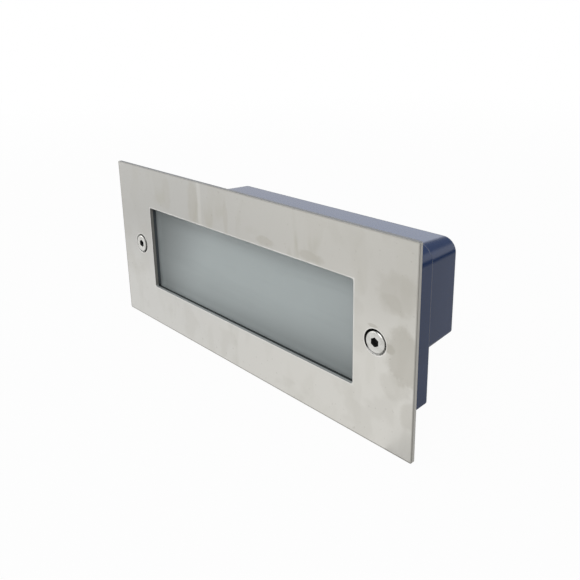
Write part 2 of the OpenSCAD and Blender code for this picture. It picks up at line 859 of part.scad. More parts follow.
// Blue wall box
module wall_box() color("steelblue")
    difference() {
        union() {
            difference() {
                union() {
                    box_outside();
                    translate([0, gland_y, 0])
                        bar_x(gland_seat_x, -gland_side_x + wall / 2, gland_pad_r);
                }
                box_inside();
            }
            // Screw bosses, joined to the end walls, and their gussets
            at_screws() {
                bar_y(boss_front, front_depth - wall / 2, boss_r);
                for (z = [-1, 1])
                    translate([-gusset_t / 2, gusset_front, z * gusset_reach / 2 - gusset_reach / 2])
                        cube([gusset_t, front_depth - wall / 2 - gusset_front, gusset_reach]);
            }
            // Plinth under the terminal block
            translate([block_x, 0, 0])
                slab(block_back, box_inner_back + wall / 2)
                    square([block_w + 2 * block_ear_w + 2 * plinth_margin,
                        block_ear_h + 2 * plinth_margin], center = true);
            // Flat pad inside the left side for the gland's locknut
            translate([0, gland_y, 0])
                bar_x(-gland_side_x + wall / 2, gland_inner_x, gland_pad_r);
            // Stiffening ribs across the back
            for (i = [-1 : 1])
                translate([knockout_x + i * rib_spacing - rib_t / 2, box_inner_back - rib_h,
                    -rib_half_len])
                    cube([rib_t, rib_h + wall / 2, 2 * rib_half_len]);
            // Raised pads under the heads of the fixing screws
            for (x = [-fix_x, fix_x])
                translate([x, 0, fix_z])
                    bar_y(box_inner_back - fix_pad_t, box_inner_back + wall / 2, fix_pad_r);
        }
        // Clip pockets and insert holes in the bosses
        at_screws() {
            bar_y(boss_front - over, clip_pocket_back, clip_pocket_r);
            bar_y(clip_pocket_back - over, clip_pocket_back + insert_flange_t,
                insert_flange_r + snug);
            bar_y(clip_pocket_back, clip_pocket_back + insert_len, insert_r + snug);
            bar_y(clip_pocket_back, boss_hole_end, shank_d / 2 + loose);
        }
        // Cable entry through the left side
        translate([0, gland_y, 0])
            bar_x(gland_seat_x - over, gland_inner_x + over, gland_d / 2 + loose / 2);
        // Fixing holes through the back, sunk for the screw heads inside
        for (x = [-fix_x, fix_x])
            translate([x, 0, fix_z]) {
                bar_y(box_inner_back - fix_pad_t - over, box_depth + over, fix_d / 2);
                bar_y(box_inner_back - fix_pad_t - over, box_inner_back - fix_pad_t + fix_sink,
                    fix_d / 2 + fix_sink + over, fix_d / 2);
            }
        // Pilot holes for the terminal block's screws
        for (x = [-ear_screw_x, ear_screw_x])
            translate([block_x + x, 0, 0])
                bar_y(block_back - over, block_back + pilot_depth, pilot_r);
        // Ring grooves of the two knock-outs
        for (side = [-1, 1])
            translate([knockout_x + side * knockout_spacing / 2, 0, 0])
                difference() {
                    bar_y(box_depth - knockout_groove_depth, box_depth + over, knockout_r);
                    bar_y(box_depth - knockout_groove_depth - over, box_depth + 2 * over,
                        knockout_r - knockout_groove_w);
                }
    }

// Brass inserts in the bosses
module threaded_inserts() color("goldenrod")
    at_screws()
        difference() {
            union() {
                bar_y(clip_pocket_back, clip_pocket_back + insert_flange_t, insert_flange_r);
                bar_y(clip_pocket_back, clip_pocket_back + insert_len, insert_r);
            }
            bar_y(clip_pocket_back - over, clip_pocket_back + insert_len + over,
                shank_d / 2 + running);
        }

// Terminal block: three poles, two wire ports and a release button to each
module terminal_block() color("whitesmoke")
    translate([block_x, 0, 0])
        difference() {
            union() {
                slab(block_front, block_back)
                    square([block_w, block_h], center = true);
                slab(block_back - block_ear_t, block_back)
                    rounded(block_w + 2 * block_ear_w, block_ear_h, block_ear_t);
            }
            for (i = [0 : pole_count - 1])
                translate([(i - (pole_count - 1) / 2) * pole_pitch, 0, 0]) {
                    for (z = [-port_z, port_z])
                        translate([0, 0, z]) {
                            bar_y(block_front - over, block_front + port_depth, port_r);
                            bar_y(block_front - over, block_front + port_funnel,
                                port_r + port_funnel + over, port_r);
                        }
                    translate([-button_w / 2, block_front - over, -button_h / 2])
                        cube([button_w, button_depth + over, button_h]);
                }
            for (x = [-ear_screw_x, ear_screw_x])
                translate([x, 0, 0])
                    bar_y(block_back - block_ear_t - over, block_back + over,
                        small_screw_d / 2 + loose / 2);
        }

// Screws through the terminal block's ears
module block_screws() color("gainsboro")
    for (x = [-ear_screw_x, ear_screw_x])
        translate([block_x + x, 0, 0])
            difference() {
                union() {
                    bar_y(block_back - block_ear_t - small_head_t, block_back - block_ear_t,
                        small_head_d / 2 - small_slot_w / 2, small_head_d / 2);
                    bar_y(block_back - block_ear_t - small_slot_depth,
                        block_back - block_ear_t + block_screw_len, pilot_r - snug);
                }
                translate([-small_head_d, block_back - block_ear_t - small_head_t - over,
                    -small_slot_w / 2])
                    cube([2 * small_head_d, small_slot_depth + over, small_slot_w]);
            }

// Sealing washer under the gland
module gland_washer() color("black")
    translate([0, gland_y, 0])
        difference() {
            bar_x(gland_seat_x - gland_washer_t, gland_seat_x, gland_hex_af / 2);
            bar_x(gland_seat_x - gland_washer_t - over, gland_seat_x + over, gland_d / 2 + snug);
        }

gland_hex_x = gland_seat_x - gland_washer_t - gland_hex_t;

// Gland body: hexagon, thread through the wall, and the neck for its cap
module gland_body() color("gray")
    translate([0, gland_y, 0])
        difference() {
            union() {
                hex_x(gland_hex_x, gland_hex_x + gland_hex_t, gland_hex_af);
                bar_x(gland_hex_x, gland_inner_x + locknut_t + gland_tail, gland_d / 2);
                bar_x(gland_hex_x - gland_neck_len, gland_hex_x + over, gland_neck_r);
            }
            bar_x(gland_hex_x - gland_neck_len - over,
                gland_inner_x + locknut_t + gland_tail + over, gland_bore_r);
        }

// Locknut inside the box
module gland_locknut() color("gray")
    translate([0, gland_y, 0])
        difference() {
            hex_x(gland_inner_x, gland_inner_x + locknut_t, locknut_af);
            bar_x(gland_inner_x - over, gland_inner_x + locknut_t + over, gland_d / 2 + snug);
        }

// Rubber seal that the cap squeezes round the cable
module gland_seal() color("black")
    translate([0, gland_y, 0])
        difference() {
            bar_x(gland_hex_x - gland_neck_len, gland_hex_x - gland_neck_len + seal_len,
                gland_bore_r - snug);
            bar_x(gland_hex_x - gland_neck_len - over,
                gland_hex_x - gland_neck_len + seal_len + over, cable_bore_d / 2);
        }

// Domed cap nut of the gland
module gland_cap() color("gray")
    translate([0, gland_y, 0])
        difference() {
            union() {
                hex_x(gland_hex_x - gland_neck_len, gland_hex_x, gland_cap_af);
                bar_x(gland_hex_x - gland_cap_len, gland_hex_x - gland_neck_len,
                    gland_neck_r - snug, gland_cap_af / 2);
            }
            bar_x(gland_hex_x - gland_neck_len, gland_hex_x + over, gland_neck_r + snug);
            bar_x(gland_hex_x - gland_cap_len - over, gland_hex_x + over, gland_cap_hole_r);
        }

faceplate();
plate_studs();
rim_gasket();
window_gasket();
window_glass();
tray_seal();
lamp_tray();
tray_washers();
tray_nuts();
led_board();
led_chips();
board_screws();
driver_case();
driver_lid();
driver_screws();
tray_grommet();
lead_red();
lead_black();
lead_live();
lead_neutral();
lead_earth();
earth_tag();
screw_seals();
screw_left();
screw_right();
clip_left();
clip_right();
wall_box();
threaded_inserts();
terminal_block();
block_screws();
gland_washer();
gland_body();
gland_locknut();
gland_seal();
gland_cap();
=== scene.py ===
"""Looks of the recessed step light: finishes, leads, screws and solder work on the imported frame."""
import json
import math

import bmesh
import bpy
from mathutils import Matrix, Vector


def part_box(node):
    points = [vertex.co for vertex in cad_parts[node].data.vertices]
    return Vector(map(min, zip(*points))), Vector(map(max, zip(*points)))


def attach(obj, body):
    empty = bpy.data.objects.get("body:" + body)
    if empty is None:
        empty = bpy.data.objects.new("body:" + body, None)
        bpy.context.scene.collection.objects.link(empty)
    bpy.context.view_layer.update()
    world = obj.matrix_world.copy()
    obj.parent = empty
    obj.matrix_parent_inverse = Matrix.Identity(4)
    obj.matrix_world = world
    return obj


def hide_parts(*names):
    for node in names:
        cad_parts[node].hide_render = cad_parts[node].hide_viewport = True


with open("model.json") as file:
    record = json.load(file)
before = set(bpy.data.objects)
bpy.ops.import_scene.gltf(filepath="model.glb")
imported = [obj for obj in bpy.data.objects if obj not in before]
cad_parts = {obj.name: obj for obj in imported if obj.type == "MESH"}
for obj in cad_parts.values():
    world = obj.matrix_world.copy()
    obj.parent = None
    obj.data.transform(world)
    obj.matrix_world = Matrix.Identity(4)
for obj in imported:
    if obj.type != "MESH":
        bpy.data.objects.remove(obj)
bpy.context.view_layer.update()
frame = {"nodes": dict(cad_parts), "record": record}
mm = 0.001


# Sizes in millimetres; y = 0 is the plate's back, and the face is on the side of lower y
def low_high(node, axis):
    """The lowest and highest coordinate of a CAD node along an axis."""
    return [round(corner[axis] / mm, 2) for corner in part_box(node)]


plate_x = low_high("faceplate", 0)[1]
plate_front = low_high("faceplate", 1)[0]
plate_z = low_high("faceplate", 2)[1]
glass_overlap = 4.0
window_x = low_high("window_glass", 0)[1] - glass_overlap
window_z = low_high("window_glass", 2)[1] - glass_overlap
screw_x = sum(low_high("screw_right", 0)) / 2
head_face, shank_end = low_high("screw_right", 1)
head_r = low_high("screw_right", 2)[1]
recess_r = 6.1
board_y = low_high("led_board", 1)[0]
chip_pitch = 9.0
chip_row = 4.0
box_back = low_high("wall_box", 1)[1]


# Shader maths
class Signal:
    """One output of a node. Where it holds a number, Python's operators on it add Math nodes."""

    def __init__(self, shop, socket):
        self.shop = shop
        self.socket = socket

    def maths(self, operation, *values):
        return self.shop.node("ShaderNodeMath", {"operation": operation}, values)

    def __add__(self, other):
        return self.maths("ADD", self, other)

    def __radd__(self, other):
        return self.maths("ADD", other, self)

    def __sub__(self, other):
        return self.maths("SUBTRACT", self, other)

    def __rsub__(self, other):
        return self.maths("SUBTRACT", other, self)

    def __mul__(self, other):
        return self.maths("MULTIPLY", self, other)

    def __rmul__(self, other):
        return self.maths("MULTIPLY", other, self)

    def __truediv__(self, other):
        return self.maths("DIVIDE", self, other)

    def __rtruediv__(self, other):
        return self.maths("DIVIDE", other, self)

    def __pow__(self, other):
        return self.maths("POWER", self, other)

    def __rpow__(self, other):
        return self.maths("POWER", other, self)

    def __abs__(self):
        return self.maths("ABSOLUTE", self)

    def floor(self):
        return self.maths("FLOOR", self)

    def root(self):
        return self.maths("SQRT", self)

    def above(self, level):
        return self.maths("GREATER_THAN", self, level)

    def below(self, level):
        return self.maths("LESS_THAN", self, level)

    def most(self, other):
        return self.maths("MAXIMUM", self, other)

    def step(self, low, high, start=0.0, end=1.0):
        """start below low, end above high, and smooth between them."""
        return self.shop.node("ShaderNodeMapRange", {"interpolation_type": "SMOOTHSTEP"},
                              [self, low, high, start, end])

    def fade(self, low, high):
        """1 below low, 0 above high, and smooth between them."""
        return self.step(low, high, 1.0, 0.0)


class Shop:
    """The nodes of one material, or of the world."""

    def __init__(self, name, world=None):
        self.owner = world or bpy.data.materials.new(name)
        self.owner.use_nodes = True
        self.tree = self.owner.node_tree
        self.tree.nodes.clear()
        self.end = self.tree.nodes.new("ShaderNodeOutputWorld" if world else "ShaderNodeOutputMaterial")

    def put(self, value, socket):
        if isinstance(value, Signal):
            self.tree.links.new(value.socket, socket)
        elif value is not None:
            socket.default_value = value

    def node(self, kind, settings=None, values=(), out=0):
        """A node of this kind: its settings first, then the values or links of its sockets."""
        made_node = self.tree.nodes.new(kind)
        for key, value in (settings or {}).items():
            setattr(made_node, key, value)
        pairs = values.items() if isinstance(values, dict) else enumerate(values)
        for key, value in pairs:
            self.put(value, made_node.inputs[key])
        return Signal(self, made_node.outputs[out])

    def place(self):
        """The point on the object, in metres, in the frame's own axes."""
        return self.node("ShaderNodeTexCoord", out="Object")

    def axes(self, point=None):
        """The point's x, y and z."""
        split = self.node("ShaderNodeSeparateXYZ", {}, [point or self.place()])
        return [Signal(self, socket) for socket in split.socket.node.outputs]

    def facing(self):
        """The direction that the surface faces, as its x, y and z."""
        return self.axes(self.node("ShaderNodeTexCoord", out="Normal"))

    def stretch(self, along_x, along_y, along_z):
        """The point with its axes scaled."""
        return self.node("ShaderNodeVectorMath", {"operation": "MULTIPLY"},
                         [self.place(), (along_x, along_y, along_z)])

    def noise(self, size, detail=3.0, rough=0.5, point=None, twist=0.0):
        """Soft noise whose lumps are about this size, from 0 to 1."""
        return self.node("ShaderNodeTexNoise", {"noise_dimensions": "3D"},
                         {"Vector": point or self.place(), "Scale": 1.0 / size, "Detail": detail,
                          "Roughness": rough, "Distortion": twist})

    def blotch(self, size, low, high, **more):
        """Patches of noise, 0 outside them and 1 inside."""
        return self.noise(size, **more).step(low, high)

    def blend(self, mask, first, second):
        """first where the mask is 0, second where it is 1, for colours."""
        mask_in, first_in, second_in, color_out = 0, 6, 7, 2
        return self.node("ShaderNodeMix", {"data_type": "RGBA"},
                         {mask_in: mask, first_in: rgba(first), second_in: rgba(second)}, color_out)

    def bump(self, height, depth, strength, below=None):
        """A normal from a height between 0 and 1 that stands for this depth in metres."""
        return self.node("ShaderNodeBump", {}, {"Height": height, "Distance": depth,
                                                "Strength": strength, "Normal": below})

    def ray(self, kind):
        """1 for rays of this kind, 0 for the rest."""
        return self.node("ShaderNodeLightPath", out=kind)

    def rounded(self, radius):
        """A normal that softens the sharp edges of this material's meshes."""
        return self.node("ShaderNodeBevel", {"samples": 4}, {"Radius": radius})

    def skin(self, color, rough, metal=0.0, normal=None, **plain):
        """The surface itself; plain numbers go straight to its sockets."""
        values = {"Base Color": rgba(color), "Roughness": rough, "Metallic": metal, "Normal": normal}
        values.update({key.replace("_", " "): value for key, value in plain.items()})
        return self.node("ShaderNodeBsdfPrincipled", {}, values)

    def mixed(self, mask, first, second):
        """The first shader where the mask is 0, the second where it is 1."""
        return self.node("ShaderNodeMixShader", {}, [mask, first, second])

    def done(self, surface):
        self.put(surface, self.end.inputs[0])
        return self.owner


def rgba(color):
    """A colour with its alpha; a signal stays as it is."""
    if isinstance(color, Signal):
        return color
    return tuple(color[:3]) + (1.0,)


def shade(digits):
    """A linear colour from the usual six hexadecimal digits."""
    parts = [int(digits[i:i + 2], 16) / 255 for i in (0, 2, 4)]
    return tuple(c / 12.92 if c <= 0.04045 else ((c + 0.055) / 1.055) ** 2.4 for c in parts)


# The plate's stainless sheet

# Each hand mark: its middle in x and z, half its width and height in millimetres, and its strength
hand_marks = (
    (106, 26, 12, 9, 0.30), (101, 20, 6, 5, 0.22), (109, -2, 9, 13, 0.50), (104, -17, 8, 6, 0.22),
    (113, -28, 5, 6, 0.28), (92.5, 7.3, 2.6, 0.9, 0.45), (102.2, -0.6, 2.8, 2.4, 0.45),
    (-36, 37, 4.5, 13, 0.36), (-7, 35, 2.0, 10, 0.34), (24, 29, 7, 2.2, 0.42), (56, 29, 8, 2.4, 0.40),
    (-62, 38, 4, 10, 0.25))


def around_screw(x, z):
    """How far outside the middle of its screw a point lies, and its distance from that middle."""
    outward = abs(x) - screw_x * mm
    return outward, (outward * outward + z * z).root()


def handled_face(shop, x, z, haze, smear, ragged):
    """The plate's face: painted shade and reflection, darker towards its upper left and lighter towards its
    lower right, with smears, stains, a lighter streak, hand marks and specks.
    """
    # Painted shade and reflection: a darker tone towards the upper left and a lighter one towards the lower
    # right, each tone lighter to the right
    painted_shade_slope = (z - x * 0.095 + haze * (16 * mm) - 15 * mm).step(-26 * mm, 24 * mm)
    upper = shop.blend(x.step(-70 * mm, 100 * mm), shade("B5B4B0"), shade("BFBDB7"))
    lower = shop.blend(x.step(-110 * mm, 100 * mm), shade("CAC9C5"), shade("D1CFC9"))
    over_window = z.step(24 * mm, 28 * mm) * z.fade(32 * mm, 42 * mm) * abs(x).fade(66 * mm, 84 * mm)
    stain = shop.blotch(24 * mm, 0.52, 0.62, detail=3.0, rough=0.55, twist=0.3)
    # A lighter streak above the window, left of the middle
    lighter_streak = x.step(-31.8 * mm, -31.0 * mm) * x.fade(-29.0 * mm, -27.6 * mm) * z.above(25 * mm)
    speck = shop.blotch(2.2 * mm, 0.70, 0.76, detail=1.0)
    color = shop.blend(painted_shade_slope, lower, upper)
    color = shop.blend(smear * (0.07 + over_window * 0.36), color, shade("A8A598"))
    color = shop.blend(stain * 0.16, color, shade("AFACA3"))
    color = shop.blend(lighter_streak * 0.42, color, shade("C8C7C2"))
    for middle, height, wide, tall, amount in hand_marks:
        across = (x - middle * mm) / (wide * mm)
        up = (z - height * mm) / (tall * mm)
        spread = (across ** 2 + up ** 2).root()
        marked = (spread + ragged * 1.2 - 0.6).fade(0.75, 1.2)
        color = shop.blend(marked * amount, color, shade("A9A59B"))
    return shop.blend(speck * 0.22, color, shade("8C887E"))


def face_edges(shop, face, x, z, flat, ragged):
    """The face with a ragged painted highlight along the window's edge, and painted shade along its outer
    edges, stronger at the bottom.
    """
    past_side = abs(x) - window_x * mm
    past_sill = abs(z) - window_z * mm
    # Painted highlight: a bright ragged line on the face along the window's edge
    painted_window_glint = past_side.fade(0.2 * mm, 0.9 * mm) * past_sill.fade(0.2 * mm, 0.9 * mm)
    rim_w = 0.8
    rim_side = (abs(x) - (plate_x - rim_w) * mm).step(0, 0.6 * mm)
    rim_edge = (abs(z) - (plate_z - rim_w) * mm).step(0, 0.6 * mm)
    # Painted shade: a dark line along the plate's outer edges, stronger at the bottom
    rim_shade = rim_side.most(rim_edge) * flat
    color = shop.blend(painted_window_glint * (0.42 + ragged.step(0.45, 0.62) * 0.40), face, shade("DEDDDA"))
    return shop.blend(rim_shade * z.step(-40 * mm, 40 * mm, 0.85, 0.5), color, shade("8A8882"))


def cut_sides(shop, face, x, y, z, flat, ledge):
    """The face with the sheet's cut sides in painted light and shade: the outer sides darker at the front,
    their top and bottom a darker bluish grey, the window's sides grey, its sill and head pale with painted
    dark shade at the gasket, and the whole window cut darker by the face's corner.
    """
    # Painted light and shade on the outer cut sides: darker at the front, lighter behind, and a darker
    # bluish grey on the top and bottom faces
    side = shop.blend(y.step(-1.7 * mm, -1.2 * mm), shade("9F9C94"), shade("C6C3BC"))
    color = shop.blend(flat, shop.blend(ledge, side, shade("8E8F90")), face)
    # Painted light and shade on the window's cut sides: sill and head pale bluish, then painted dark shade
    # at the gasket, all darker by the face's corner
    in_window = abs(x).below((window_x + 0.5) * mm) * abs(z).below((window_z + 0.4) * mm) * (1 - flat)
    corner = y.fade((plate_front + 0.15) * mm, (plate_front + 0.4) * mm) * 0.6
    sill = shop.blend(y.step(-0.5 * mm, -0.35 * mm), shade("A6AAA9"), shade("1D2222"))
    cut = shop.blend(ledge, shade("8E8C87"), sill)
    return shop.blend(in_window, color, shop.blend(corner, cut, shade("3F4344")))


def pressed_recess(shop, sheet, x, y, z, flat):
    """The sheet with the screws' recesses, each with painted dark shade in its gap, painted light on one
    side, and a painted highlight on its lip.

    Returns the colour and the mask of the recesses.
    """
    outward, from_screw = around_screw(x, z)
    recess = from_screw.below((recess_r + 0.04) * mm) * y.above((plate_front + 0.15) * mm)
    leftmost = x.below(0)
    # Painted shade in each recess's gap, dark above and towards the plate's middle, with painted light below
    # and towards the outer side
    gap_shade = (z + leftmost * (4 * mm)).step(-5.2 * mm, -3.2 * mm) * outward.step(-2 * mm, 2 * mm, 1.0, 0.35)
    gap_shade = gap_shade * (1 - leftmost * outward.step(-1 * mm, 2 * mm))
    # Painted highlight: a bright line on the face just outside each recess's edge
    past_recess = from_screw - recess_r * mm
    lip_highlight = past_recess.step(0, 0.1 * mm) * past_recess.fade(0.3 * mm, 0.6 * mm) * flat
    color = shop.blend(recess, sheet, shop.blend(gap_shade, shade("F4F3F0"), shade("191817")))
    return shop.blend(lip_highlight * 0.5, color, shade("EFEEEA")), recess


def stainless_sheet():
    """Rolled stainless sheet: lengthways brushing, cloudy hand marks, painted shade and reflection on its
    face, duller cut edges in painted light and shade, and recesses painted dark.
    """
    shop = Shop("stainless_sheet")
    x, y, z = shop.axes()
    _, facing_y, facing_z = shop.facing()
    flat = abs(facing_y).step(0.5, 0.8)
    ledge = abs(facing_z).above(0.5)
    brushing = shop.noise(0.9 * mm, 4.0, 0.6, shop.stretch(0.05, 1.0, 1.0))
    haze = shop.noise(60 * mm, 2.0, 0.5)
    smear = shop.blotch(13 * mm, 0.50, 0.64, detail=2.0, rough=0.45, twist=0.5,
                        point=shop.stretch(1.0, 1.0, 0.4))
    ragged = shop.noise(7 * mm, 3.0, 0.6)
    color = handled_face(shop, x, z, haze, smear, ragged)
    color = face_edges(shop, color, x, z, flat, ragged)
    color = cut_sides(shop, color, x, y, z, flat, ledge)
    color, recess = pressed_recess(shop, color, x, y, z, flat)
    rough = 0.40 + haze * 0.06 + smear * 0.05 + (1 - flat) * 0.12
    metal = 0.55 + flat * 0.38 - recess * 0.8
    normal = shop.bump(brushing, 0.003 * mm, 0.4, shop.rounded(0.25 * mm))
    return shop.done(shop.skin(color, rough, metal, normal))


# Glass, rubber, foam and silicone
def frosted_pane():
    """Glass sand-blasted on its face, pale over the white tray, with painted shade towards its left end and
    bottom and a painted dark reflection of the gasket along its left edge.
    """
    shop = Shop("frosted_pane")
    x, _, z = shop.axes()
    grain = shop.noise(0.35 * mm, 2.0)
    cloud = shop.noise(30 * mm, 2.0)
    streak = shop.noise(6 * mm, 2.0, 0.5, shop.stretch(0.12, 1.0, 1.0))
    from_left = x + window_x * mm
    from_right = window_x * mm - x
    from_bottom = z + window_z * mm
    from_top = window_z * mm - z
    # Painted shade: darker towards the left end and the bottom, a little by the right and below the top,
    # with painted light lifting the last millimetres by the top and bottom edges
    left = (from_left - z * 0.47).step(-5 * mm, 51.5 * mm, 0.44, 1.0)
    left = left * from_left.step(0, 8 * mm, 1.6, 1.0)
    right = from_right.step(0, 60 * mm, 0.95, 1.0)
    low = (from_bottom - x * 0.05).step(-25 * mm, 25 * mm, 0.14, 1.0)
    low = low * from_bottom.step(0, 5 * mm, 1.38, 1.0)
    high = from_top.step(5 * mm, 12 * mm, 0.91, 1.0) * from_top.step(0, 5 * mm, 1.4, 1.0)
    lit = left * low * high * right * (0.96 + cloud * 0.08)
    color = shop.blend(lit, shade("2A3536"), shade("CBD2D1"))
    # Painted reflection of the gasket: a dark band along the glass's left edge
    color = shop.blend(from_left.step(0.3 * mm, 0.9 * mm, 0.8, 0.0), color, shade("424B4F"))
    color = shop.blend(streak.step(0.48, 0.72) * 0.08, color, shade("7F8887"))
    normal = shop.bump(grain, 0.01 * mm, 0.4)
    return shop.done(shop.skin(color, 0.50 + grain * 0.08, 0.0, normal, Transmission_Weight=0.50, IOR=1.48))


def black_rubber():
    """Dusty black rubber; painted light lifts the gasket's edge in the window to grey, and painted shade
    makes it nearly black along the bottom.
    """
    shop = Shop("black_rubber")
    dust = shop.blotch(6 * mm, 0.45, 0.75)
    grain = shop.noise(0.5 * mm, 2.0)
    x, y, z = shop.axes()
    # Painted light and shade on the gasket's edge in the window: grey, and nearly black along the bottom
    in_window = abs(x).below((window_x + 1.0) * mm) * abs(z).below((window_z + 0.9) * mm) * y.below(2 * mm)
    edge = shop.blend(z.above((0.6 - window_z) * mm), shade("1E2324"), shade("434A4E"))
    color = shop.blend(in_window, shop.blend(dust * 0.6, shade("1D1F22"), shade("34373A")), edge)
    return shop.done(shop.skin(color, 0.62 + dust * 0.12, 0.0, shop.bump(grain, 0.02 * mm, 0.4)))


def closed_cell_foam():
    """Dark foam with small round cells."""
    shop = Shop("closed_cell_foam")
    cell = shop.node("ShaderNodeTexVoronoi", {}, {"Vector": shop.place(), "Scale": 1 / (0.7 * mm)})
    color = shop.blend(cell.step(0.1, 0.8), shade("2B2C2E"), shade("141416"))
    return shop.done(shop.skin(color, 0.9, 0.0, shop.bump(1 - cell, 0.1 * mm, 0.7)))


def white_silicone():
    """Cloudy white silicone with a fine skin."""
    shop = Shop("white_silicone")
    cloud = shop.noise(9 * mm)
    color = shop.blend(cloud, shade("DCDCD6"), shade("E9E9E4"))
    return shop.done(shop.skin(color, 0.5, 0.0, shop.bump(shop.noise(0.8 * mm), 0.02 * mm, 0.4)))


# Plastics, paint and the lamp board
def glossy_box_plastic():
    """Glossy navy moulded plastic with faint flow marks, a painted sheen on its top, lighter towards the
    right, and painted shade along the top's back edge.
    """
    shop = Shop("glossy_box_plastic")
    x, y, _ = shop.axes()
    flow = shop.noise(30 * mm, 3.0, 0.5, shop.stretch(0.5, 1.0, 1.0), 0.5)
    scuff = shop.blotch(3 * mm, 0.66, 0.78, detail=5.0, rough=0.7)
    upward = shop.facing()[2].step(0.985, 0.998) * y.above(0)
    # Painted shade: a dark line along the top's back edge
    back_edge_shade = upward * y.step((box_back - 1.6) * mm, (box_back - 0.4) * mm)
    # Painted sheen on the upward faces, lighter towards the right
    painted_top_sheen = shop.blend(x.step(-90 * mm, 100 * mm), shade("2A3D62"), shade("4D5B78"))
    color = shop.blend(flow, shade("213150"), shade("29395C"))
    color = shop.blend(scuff * 0.22, color, shade("44506E"))
    color = shop.blend(upward * (0.8 + flow * 0.2), color, painted_top_sheen)
    color = shop.blend(back_edge_shade, color, shade("0D1322"))
    rough = 0.16 + flow * 0.05 + scuff * 0.12 + back_edge_shade * 0.5
    wave = shop.bump(shop.noise(14 * mm, 2.0), 0.12 * mm, 0.25, shop.rounded(0.9 * mm))
    normal = shop.bump(shop.noise(0.6 * mm, 2.0), 0.006 * mm, 0.3, wave)
    return shop.done(shop.skin(color, rough, 0.0, normal))


def powder_coat():
    """White powder coat on the tray, with its orange-peel skin."""
    shop = Shop("powder_coat")
    peel = shop.noise(1.4 * mm, 2.0, 0.5)
    cloud = shop.noise(25 * mm)
    color = shop.blend(cloud, shade("DEDEDA"), shade("E8E8E5"))
    return shop.done(shop.skin(color, 0.42 + cloud * 0.06, 0.0, shop.bump(peel, 0.04 * mm, 0.5)))


def board_mask():
    """White solder mask over copper tracks that show as low ridges."""
    shop = Shop("board_mask")
    _, _, z = shop.axes()
    under_chips = abs(abs(z) - chip_row * mm).below(0.9 * mm)
    rail = abs(abs(z) - 7.6 * mm).below(0.5 * mm)
    track = under_chips.most(rail)
    grain = shop.noise(0.5 * mm)
    color = shop.blend(track * 0.6, shade("E4E4DE"), shade("D3D2C4"))
    return shop.done(shop.skin(color, 0.38 + grain * 0.08, 0.0, shop.bump(track, 0.05 * mm, 0.8)))


def lamp_chip():
    """White chips. Their yellow phosphor spots lie half a pitch beside them, so none of them shows."""
    shop = Shop("lamp_chip")
    x, _, z = shop.axes()
    across = x / (chip_pitch * mm) + 0.5
    from_spot = (across - across.floor() - 0.5) * (chip_pitch * mm)
    from_row = abs(z) - chip_row * mm
    spot = (from_spot * from_spot + from_row * from_row).root().fade(1.0 * mm, 1.12 * mm)
    phosphor = shop.blend(shop.noise(0.2 * mm), shade("E2B93A"), shade("EBC95A"))
    color = shop.blend(spot, shade("EFEFEA"), phosphor)
    return shop.done(shop.skin(color, 0.3 + spot * 0.2, 0.0, shop.bump(1 - spot, 0.12 * mm, 0.8)))


def moulded_plastic(name, light, dark, rough=0.42, grain_depth=0.03):
    """Satin moulded plastic with a fine spark-eroded grain of this depth in millimetres."""
    shop = Shop(name)
    grain = shop.noise(0.45 * mm, 3.0, 0.6)
    cloud = shop.noise(12 * mm)
    color = shop.blend(cloud, shade(dark), shade(light))
    return shop.done(shop.skin(color, rough + grain * 0.12, 0.0, shop.bump(grain, grain_depth * mm, 0.5)))


def lead_sheath(name, main, stripe=None):
    """Soft sheath of a lead, with a stripe along it when it has one."""
    shop = Shop(name)
    grain = shop.noise(0.7 * mm)
    color = shop.blend(grain, shade(main), tuple(c * 0.85 for c in shade(main)))
    if stripe:
        around = shop.axes(shop.node("ShaderNodeUVMap"))[0]
        color = shop.blend(abs(around - 0.5).below(0.16), color, shade(stripe))
    return shop.done(shop.skin(color, 0.38 + grain * 0.06, 0.0, shop.bump(grain, 0.015 * mm, 0.4)))


# Small metal parts
def cast_lid():
    """Satin aluminium lid with rub marks."""
    shop = Shop("cast_lid")
    rubbed = shop.noise(0.8 * mm, 3.0, 0.6, shop.stretch(1.0, 1.0, 0.08))
    cloud = shop.noise(14 * mm)
    color = shop.blend(cloud, shade("B4B6B8"), shade("C6C8CA"))
    return shop.done(shop.skin(color, 0.34 + rubbed * 0.12, 1.0, shop.bump(rubbed, 0.01 * mm, 0.5)))


def plated_steel(name, light, dark, rough):
    """Zinc-plated or spring steel, with fine tool marks and dull patches."""
    shop = Shop(name)
    mark = shop.noise(0.5 * mm, 3.0, 0.6)
    dull = shop.blotch(3 * mm, 0.45, 0.7)
    color = shop.blend(dull, shade(light), shade(dark))
    normal = shop.bump(mark, 0.008 * mm, 0.5)
    return shop.done(shop.skin(color, rough + dull * 0.12 + mark * 0.05, 1.0, normal))


